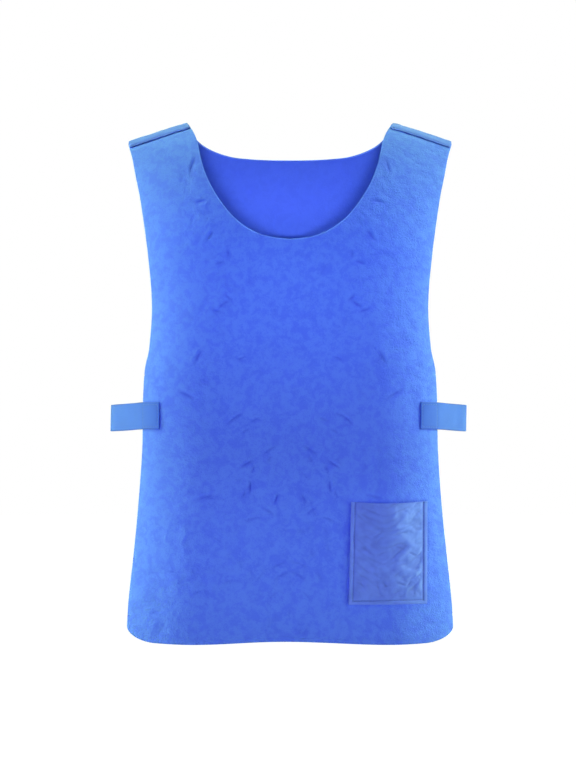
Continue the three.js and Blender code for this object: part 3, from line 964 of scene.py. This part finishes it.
for toward, side_name, seed in ((1, "left", 3.0), (-1, "right", 6.0)):
    route = strap_points(toward, STRAP_REACH[side_name])
    places, directions, length = centripetal(route, ROUTE_STEPS)
    bm, flat, off_edge = flat_rectangle(length, STRAP_WIDTH, STRAP_CELL, STRAP_EDGE_RINGS)
    share = flat[:, 0] / length + 0.5

    def on_strap(share, up, lift):
        """Places on the strap: a share of its length, a height off its middle line and a lift."""
        even = np.linspace(0, 1, ROUTE_STEPS)
        at = np.stack([np.interp(share, even, places[:, k]) for k in range(3)], -1)
        way = np.stack([np.interp(share, even, directions[:, k]) for k in range(3)], -1)
        way /= np.linalg.norm(way, axis=1, keepdims=True)
        outward = toward * np.stack([way[:, 1], -way[:, 0], np.zeros(len(way))], -1)
        at = at + outward * np.asarray(lift)[..., None]
        at[:, 2] += up - STRAP_SAG * np.sin(share * np.pi) ** 2
        return at, outward

    sewn_length = float(np.linalg.norm(route[3] - route[0]))
    off_end = np.minimum(flat[:, 0] + length / 2, length / 2 - flat[:, 0])
    loose = smoothstep(off_end, sewn_length, LOOSE_AT)
    ripple = waves(flat[:, 0] * 22, flat[:, 1] * 16, seed)
    edge_wave = waves(flat[:, 0] * 30, seed, 2.0)
    off_side = STRAP_WIDTH / 2 - np.abs(flat[:, 1])
    box_in = np.minimum(np.minimum(off_side, off_end), sewn_length - off_end)
    groove = STRAP_GROOVE * np.exp(-(((box_in - STRAP_STITCH_IN) / GROOVE_BREADTH) ** 2))
    # Painted shade: the webbing is darkened in the grooves of its stitches and along both of its edges
    painted_shade = 0.35 * groove / STRAP_GROOVE + 0.5 * np.exp(-((off_side / STRAP_EDGE_SHADE) ** 2))
    lift = STRAP_RIPPLE * ripple * loose - groove - SEAT * (1 - loose)
    up = flat[:, 1] * (1 + 0.02 * edge_wave)
    place, _ = on_strap(share, up, lift)
    if toward < 0:
        bmesh.ops.reverse_faces(bm, faces=bm.faces)
    name = f"side_strap_{side_name}_webbing"
    strap = laid_cloth(name, bm, place, off_edge, STRAP_WALL, painted_shade, [webbing], thinnest=0.3)
    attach(strap, "root")
    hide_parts(f"side_strap_{side_name}")

    half = STRAP_WIDTH / 2 - STRAP_STITCH_IN
    first, last = STRAP_STITCH_IN / length, (sewn_length - STRAP_STITCH_IN) / length
    rows = []
    for a, b in ((first, last), (1 - first, 1 - last)):
        corners = [(a, -half), (a, half), (b, half), (b, -half), (a, -half)]
        for (s0, u0), (s1, u1) in zip(corners, corners[1:]):
            rows.append(on_strap(np.linspace(s0, s1, 40), np.linspace(u0, u1, 40), 0.006))
    sew(strap, f"side_strap_{side_name}_stitches", rows)

# Patch pocket. It is a thin, slightly shiny cloth, turned in and stitched down along two sides and
# the bottom, with a narrow welt outside the stitches. Between them it is loose: it stands open a
# little at the mouth and is crumpled.
POCKET_WALL = 0.0012
POCKET_BORDER = 0.006
POCKET_GAPE = 0.0040
POCKET_SAG = 0.002
POCKET_CELL = 0.0009
POCKET_STITCH_IN = 0.0048
POCKET_EDGE_RINGS = (0.0005, 0.00018)
POCKET_WELT = 0.0007
POCKET_HEM = 0.0004
POCKET_GROOVE = 0.0009
POCKET_GROOVE_BREADTH = 0.0007
POCKET_DEEPEST = 0.0018

# The buckles of its loose cloth, which a simulation finds
CRUMPLE_CELL = 0.0017
CRUMPLE_STEPS = 20
CRUMPLE_EASE = 0.03
CRUMPLE_MOST = 0.0021
CRUMPLE_SHARE = 0.4

# The folds that hang across it from its two sides
SWAG_DEPTH = 0.0010
SWAG_CREASE = 0.0006
SWAG_SLOPE = 0.62
FINE_CRUMPLE = 0.00035

# Its single creases: how far right of and above its middle they lie, half length, lean, depth and
# half breadth. They are pressed in by a share of that depth.
CREASE_SHARE = 0.55
POCKET_CREASES = [
    (-0.0229, 0.0525, 0.015, -0.37, 0.0011, 0.0014),
    (-0.027, 0.045, 0.01, -0.5, 0.0008, 0.0013),
    (-0.0127, 0.0228, 0.0095, 0.66, 0.0014, 0.0016),
    (0.0053, 0.028, 0.012, 0.1, 0.0009, 0.0014),
    (-0.0257, 0.0045, 0.0135, -0.73, 0.0014, 0.0017),
    (-0.008, 0, 0.008, 0.42, 0.001, 0.0015),
    (-0.029, 0.02, 0.008, -0.2, 0.0012, 0.002),
    (-0.0315, -0.038, 0.0095, -0.56, 0.0011, 0.0014),
    (-0.011, -0.043, 0.009, -1.3, 0.001, 0.0013),
    (-0.004, -0.038, 0.006, -1.1, 0.0008, 0.0012),
    (0.015, -0.038, 0.0075, -0.38, 0.0011, 0.0014),
    (0.024, -0.038, 0.005, 0.87, 0.0011, 0.0013),
    (-0.0144, -0.0249, 0.005, -0.4, 0.0009, 0.0013),
    (0.013, 0.0238, 0.014, 0.16, 0.0008, 0.0014),
    (0.013, 0.006, 0.006, -0.26, 0.0008, 0.0013),
    (0.028, -0.002, 0.0065, -0.47, 0.0008, 0.0013),
    (0.005, -0.012, 0.009, 0.5, 0.0007, 0.0015),
]


def pocket_place(u, v, lift):
    """A place on the pocket's form: u from its inner to its outer edge, v from its bottom up."""
    outer = POCKET_FROM_MIDDLE + POCKET_WIDTH
    inner = POCKET_FROM_MIDDLE - POCKET_LEAN * (1 - v)
    bottom = LENGTH - POCKET_ABOVE_HEM
    x = lerp(inner, outer, u)
    drop = bottom - POCKET_HEIGHT * v + POCKET_SAG * np.sin(u * np.pi) * v**4
    in_from_side = np.minimum(x - inner, outer - x) - POCKET_BORDER
    in_from_bottom = bottom - drop - POCKET_BORDER
    slack = smoothstep(in_from_side, 0, POCKET_WIDTH / 2 - POCKET_BORDER) * smoothstep(
        in_from_bottom, 0, POCKET_HEIGHT - POCKET_BORDER
    )
    return FRONT.point(x, drop, PADDING + SEWN_GAP + POCKET_GAPE * slack + lift)


def crumpled_pocket():
    """Heights of the pocket's loose cloth over a regular grid of cells: it is cut a little larger
    than its seams, so it buckles between them. Its broad bulge is left out, and the buckles kept."""
    bm, flat, _ = flat_rectangle(POCKET_WIDTH, POCKET_HEIGHT, CRUMPLE_CELL, ())
    columns = round(POCKET_WIDTH / CRUMPLE_CELL) + 1
    rows = round(POCKET_HEIGHT / CRUMPLE_CELL) + 1
    order = np.lexsort((flat[:, 0].round(6), flat[:, 1].round(6)))
    u, v = flat[:, 0] / POCKET_WIDTH + 0.5, flat[:, 1] / POCKET_HEIGHT + 0.5
    start, outward = pocket_place(u, v, POCKET_WALL / 2)
    sewn_in = np.minimum(POCKET_WIDTH / 2 - np.abs(flat[:, 0]), v * POCKET_HEIGHT)
    free = smoothstep(sewn_in, POCKET_STITCH_IN, POCKET_STITCH_IN + 0.003)
    uneven = waves(flat[:, 0] * 95, flat[:, 1] * 95, 4.0)
    for vertex, co in zip(bm.verts, start + outward * (0.0010 * uneven * free)[:, None]):
        vertex.co = co
    sample = finished("crumpled", bm)
    pinned = sample.vertex_groups.new(name="pinned")
    for i, loose in enumerate(free):
        if loose < 1:
            pinned.add([i], 1 - float(loose), "REPLACE")
    cloth = sample.modifiers.new("cloth", "CLOTH")
    cloth.settings.quality = 6
    cloth.settings.mass = 0.15
    cloth.settings.tension_stiffness = 12
    cloth.settings.compression_stiffness = 12
    cloth.settings.shear_stiffness = 6
    cloth.settings.bending_stiffness = 0.004
    cloth.settings.vertex_group_mass = "pinned"
    cloth.settings.shrink_min = -CRUMPLE_EASE
    cloth.settings.effector_weights.gravity = 0
    cloth.collision_settings.use_collision = False
    cloth.point_cache.frame_end = CRUMPLE_STEPS
    for step in range(1, CRUMPLE_STEPS + 1):
        bpy.context.scene.frame_set(step)
    settled = sample.evaluated_get(bpy.context.evaluated_depsgraph_get())
    moved = np.array([vertex.co for vertex in settled.data.vertices]) - start
    bpy.context.scene.frame_set(1)
    bpy.data.objects.remove(sample)
    height = np.einsum("ij,ij->i", moved, outward)[order].reshape(rows, columns)
    broad = height
    for _ in range(30):
        wide = np.pad(broad, 1, mode="edge")
        broad = (wide[:-2, 1:-1] + wide[2:, 1:-1] + wide[1:-1, :-2] + wide[1:-1, 2:]) / 4
    return CRUMPLE_MOST * np.tanh((height - broad) / CRUMPLE_MOST)


bm, flat, off_edge = flat_rectangle(POCKET_WIDTH, POCKET_HEIGHT, POCKET_CELL, POCKET_EDGE_RINGS)
u = flat[:, 0] / POCKET_WIDTH + 0.5
v = flat[:, 1] / POCKET_HEIGHT + 0.5
sewn_in = np.minimum(POCKET_WIDTH / 2 - np.abs(flat[:, 0]), v * POCKET_HEIGHT)
free = smoothstep(sewn_in, POCKET_STITCH_IN + 0.0006, POCKET_STITCH_IN + 0.0045)
crumple = np.zeros(len(flat))
# crease_shade_mask marks where the pocket's creases get painted shade
crease_shade_mask = np.zeros(len(flat))
hanging = flat[:, 1] - SWAG_SLOPE * np.hypot(flat[:, 0] + 0.004, 0.006)
for i, (across, down) in enumerate(zip(flat[:, 0], hanging)):
    bent = noise.noise_vector(Vector((across * 45, down * 45, 1.0))) * 0.30
    broad = noise.noise(Vector((across * 21, down * 70, 3.0)) + bent)
    narrow = noise.noise(Vector((across * 40, down * 140, 7.0)) + bent * 1.5)
    patch = min(max(0.55 + 1.6 * noise.noise(Vector((across * 50, down * 50, 5.0))), 0), 1)
    line = patch * math.exp(-((broad / 0.13) ** 2))
    thin = 0.5 * (1 - patch) * math.exp(-((narrow / 0.14) ** 2))
    fine = noise.noise(Vector((across * 130, down * 260, 9.0)) + bent * 3)
    crumple[i] = SWAG_DEPTH * (broad + 0.5 * narrow) - SWAG_CREASE * (line + thin)
    crumple[i] += FINE_CRUMPLE * fine
    crease_shade_mask[i] = line + thin
heights = crumpled_pocket()
column = np.clip(u, 0, 1) * (heights.shape[1] - 1)
row = np.clip(v, 0, 1) * (heights.shape[0] - 1)
left = np.minimum(column.astype(int), heights.shape[1] - 2)
below = np.minimum(row.astype(int), heights.shape[0] - 2)
a, b = column - left, row - below
crumple += CRUMPLE_SHARE * lerp(
    lerp(heights[below, left], heights[below, left + 1], a),
    lerp(heights[below + 1, left], heights[below + 1, left + 1], a),
    b,
)
for right, above, half_length, lean, depth, breadth in POCKET_CREASES:
    dx, dy = flat[:, 0] - right, flat[:, 1] - above
    along = (dx * math.cos(lean) + dy * math.sin(lean)) / half_length
    across = (dy * math.cos(lean) - dx * math.sin(lean)) / breadth
    fade = np.maximum(1 - along**2, 0) ** 1.2
    ridge = 0.5 * np.exp(-((across - 1.9) ** 2))
    crumple += CREASE_SHARE * depth * fade * (ridge - np.exp(-(across**2)))
    crease_shade_mask += fade * np.exp(-((across / 1.2) ** 2))
off_stitches = sewn_in - POCKET_STITCH_IN
welt = POCKET_WELT * (1 - smoothstep(sewn_in, POCKET_STITCH_IN - 0.0016, POCKET_STITCH_IN - 0.0004))
groove = POCKET_GROOVE * np.exp(-((off_stitches / POCKET_GROOVE_BREADTH) ** 2))
hem = POCKET_HEM * (1 - smoothstep((1 - v) * POCKET_HEIGHT, 0.0, 0.0016))
lift = POCKET_WALL / 2 + np.maximum(crumple * free, -POCKET_DEEPEST) + welt - groove * 0.55 + hem
lift = lift - 0.5 * SEAT * (1 - free)
# Painted shade: the pocket is darkened in its creases, in the hollows of its crumple and in the groove
# of its stitches
painted_shade = 0.30 * crease_shade_mask * free + 0.4 * smoothstep(-crumple, 0.0, 0.0020) * free + groove / POCKET_GROOVE
place, _ = pocket_place(u, v, lift)
bmesh.ops.reverse_faces(bm, faces=bm.faces)

pocket_paint, nodes, links, shader = new_paint("pocket_cloth")
coordinates = nodes.new("ShaderNodeTexCoord").outputs
clouds = new_node(nodes, "ShaderNodeTexNoise", ("Scale", 70), ("Detail", 5), ("Distortion", 0.8))
links.new(coordinates["Object"], clouds.inputs["Vector"])
# The tones wander at random; painted_shade_colour is the painted shade in its creases, hollows and
# groove
dark, light, painted_shade_colour = (0.071, 0.147, 0.71), (0.084, 0.175, 0.78), (0.55, 0.54, 0.70)
paint_tones(nodes, links, shader, clouds.outputs["Fac"], 0.35, dark, 0.65, light, painted_shade_colour)
yarns = (("Scale", 480),)
weave(nodes, links, shader, coordinates["UV"], "ADD", 0.00005, 1, yarns, yarns)
set_sockets(shader, ("Roughness", 0.62), ("Specular IOR Level", 0.25))
set_sockets(shader, ("Sheen Weight", 0.15), ("Sheen Tint", (0.7, 0.85, 1.0, 1)))
pocket = laid_cloth(
    "pocket_patch", bm, place, off_edge, POCKET_WALL, painted_shade, [pocket_paint], thinnest=0.35
)
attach(pocket, "root")
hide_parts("pocket")

in_u, in_v = POCKET_STITCH_IN / POCKET_WIDTH, POCKET_STITCH_IN / POCKET_HEIGHT
corners = [(in_u, 0.995), (in_u, in_v), (1 - in_u, in_v), (1 - in_u, 0.995)]
rows = []
for (u0, v0), (u1, v1) in zip(corners, corners[1:]):
    rows.append(pocket_place(np.linspace(u0, u1, 110), np.linspace(v0, v1, 110), 0.006))
sew(pocket, "pocket_stitches", rows)
